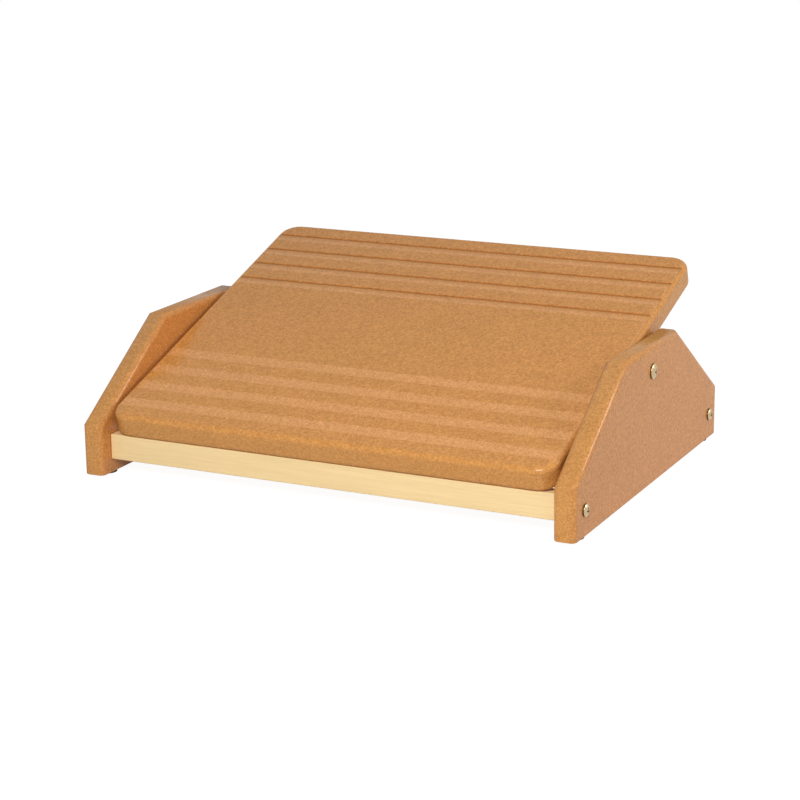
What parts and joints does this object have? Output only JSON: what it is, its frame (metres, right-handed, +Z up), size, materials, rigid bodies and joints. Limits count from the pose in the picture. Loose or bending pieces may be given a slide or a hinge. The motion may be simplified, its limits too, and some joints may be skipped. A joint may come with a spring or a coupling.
{
  "type": "tilting wooden footrest",
  "caption": "Under-desk footrest: a grooved MDF board that rocks on two pivot screws between sloped side panels, which two pale wooden stretchers join, on rubber feet.",
  "frame": {"origin": "on the floor under the middle of the footrest", "axes": "+X across the footrest to its right-hand side seen from the user's seat, -Y its front, where the user sits, +Z up"},
  "size_m": [0.4564, 0.34, 0.1622],
  "materials": {
    "side_mdf": "medium-density fibreboard under a satin lacquer, rounded edges",
    "tread_mdf": "medium-density fibreboard under a satin lacquer, machined grip grooves",
    "pale_wood": "planed pale hardwood with a faint lengthwise grain, unlacquered",
    "plated_steel": "yellow-passivated zinc-plated truss-head screws with a cross recess",
    "nylon": "black moulded nylon",
    "brass": "turned, unplated",
    "rubber": "black matt self-adhesive disc"
  },
  "bodies": {
    "base": {"left_side_panel": "side_mdf", "right_side_panel": "side_mdf", "front_stretcher": "pale_wood", "rear_stretcher": "pale_wood", "left_front_foot": "rubber", "left_rear_foot": "rubber", "right_front_foot": "rubber", "right_rear_foot": "rubber", "left_front_stretcher_screw": "plated_steel", "left_rear_stretcher_screw": "plated_steel", "right_front_stretcher_screw": "plated_steel", "right_rear_stretcher_screw": "plated_steel", "left_pivot_bush": "nylon", "right_pivot_bush": "nylon"},
    "tread": {"tread_board": "tread_mdf", "left_pivot_screw": "plated_steel", "right_pivot_screw": "plated_steel", "left_threaded_insert": "brass", "right_threaded_insert": "brass"}
  },
  "joints": [
    {"name": "board_tilt", "type": "hinge", "parent": "base", "child": "tread", "pos_m": [0, 0, 0.0995], "axis": [-1, 0, 0], "range_deg": [0, 36.7]}
  ]
}
